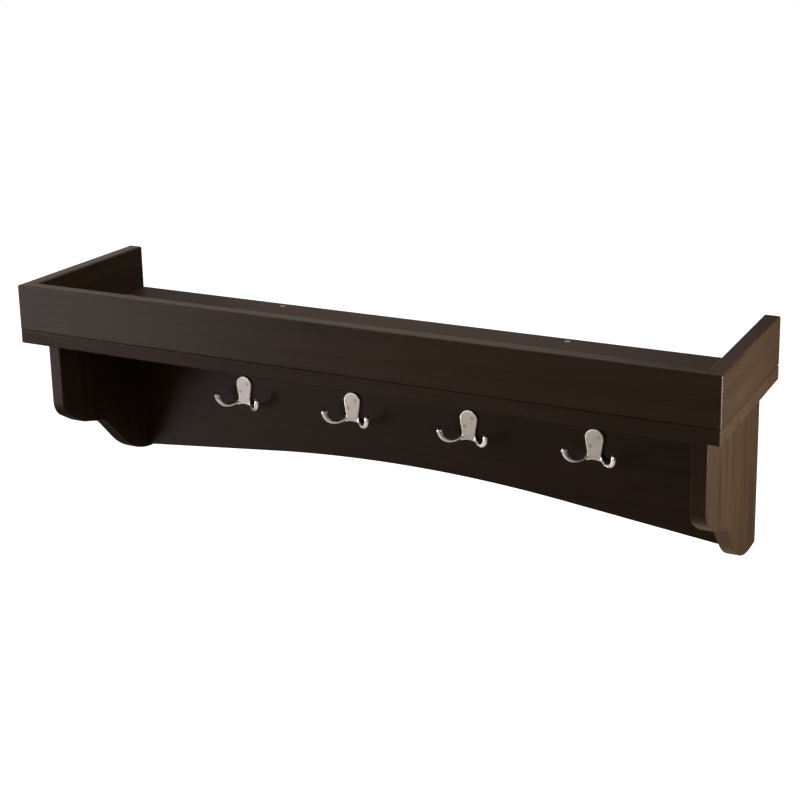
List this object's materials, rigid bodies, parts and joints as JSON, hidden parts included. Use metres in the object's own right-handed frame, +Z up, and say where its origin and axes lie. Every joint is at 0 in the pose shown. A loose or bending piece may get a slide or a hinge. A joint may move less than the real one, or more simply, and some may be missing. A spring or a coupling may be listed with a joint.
{
  "type": "wall coat shelf",
  "caption": "Wall-hung coat shelf with a railed tray top, scrolled end brackets, an arched back panel and a row of double-prong metal hooks.",
  "frame": {"origin": "on the wall plane, midway along the shelf, at the height of the wall screws, on the rear face of the hanging rail", "axes": "+X to the right along the wall as seen from the room, +Y into the wall, +Z up"},
  "size_m": [1.016, 0.264, 0.3139],
  "materials": {
    "espresso_lacquer": "dark brown stain under satin lacquer, faint grain",
    "bare_wood": "sanded and left bare",
    "satin_nickel": "satin nickel plate on cast zinc",
    "zinc_steel": "bright zinc-plated steel"
  },
  "bodies": {
    "root": {"shelf_board": "espresso_lacquer", "front_rail": "espresso_lacquer", "left_rail": "espresso_lacquer", "right_rail": "espresso_lacquer", "left_bracket": "espresso_lacquer", "right_bracket": "espresso_lacquer", "back_panel": "espresso_lacquer", "corner_splines": "bare_wood", "rail_dowels": "bare_wood", "bracket_dowels": "bare_wood", "panel_dowels": "bare_wood", "hanging_rail": "bare_wood", "hanging_rail_dowels": "bare_wood", "hook_1": "satin_nickel", "hook_2": "satin_nickel", "hook_3": "satin_nickel", "hook_4": "satin_nickel", "hook_1_screws": "satin_nickel", "hook_2_screws": "satin_nickel", "hook_3_screws": "satin_nickel", "hook_4_screws": "satin_nickel", "bracket_screws": "zinc_steel", "panel_screws": "zinc_steel", "shelf_screws": "zinc_steel", "left_keyhole_plate": "zinc_steel", "right_keyhole_plate": "zinc_steel", "keyhole_screws": "zinc_steel"}
  },
  "joints": []
}
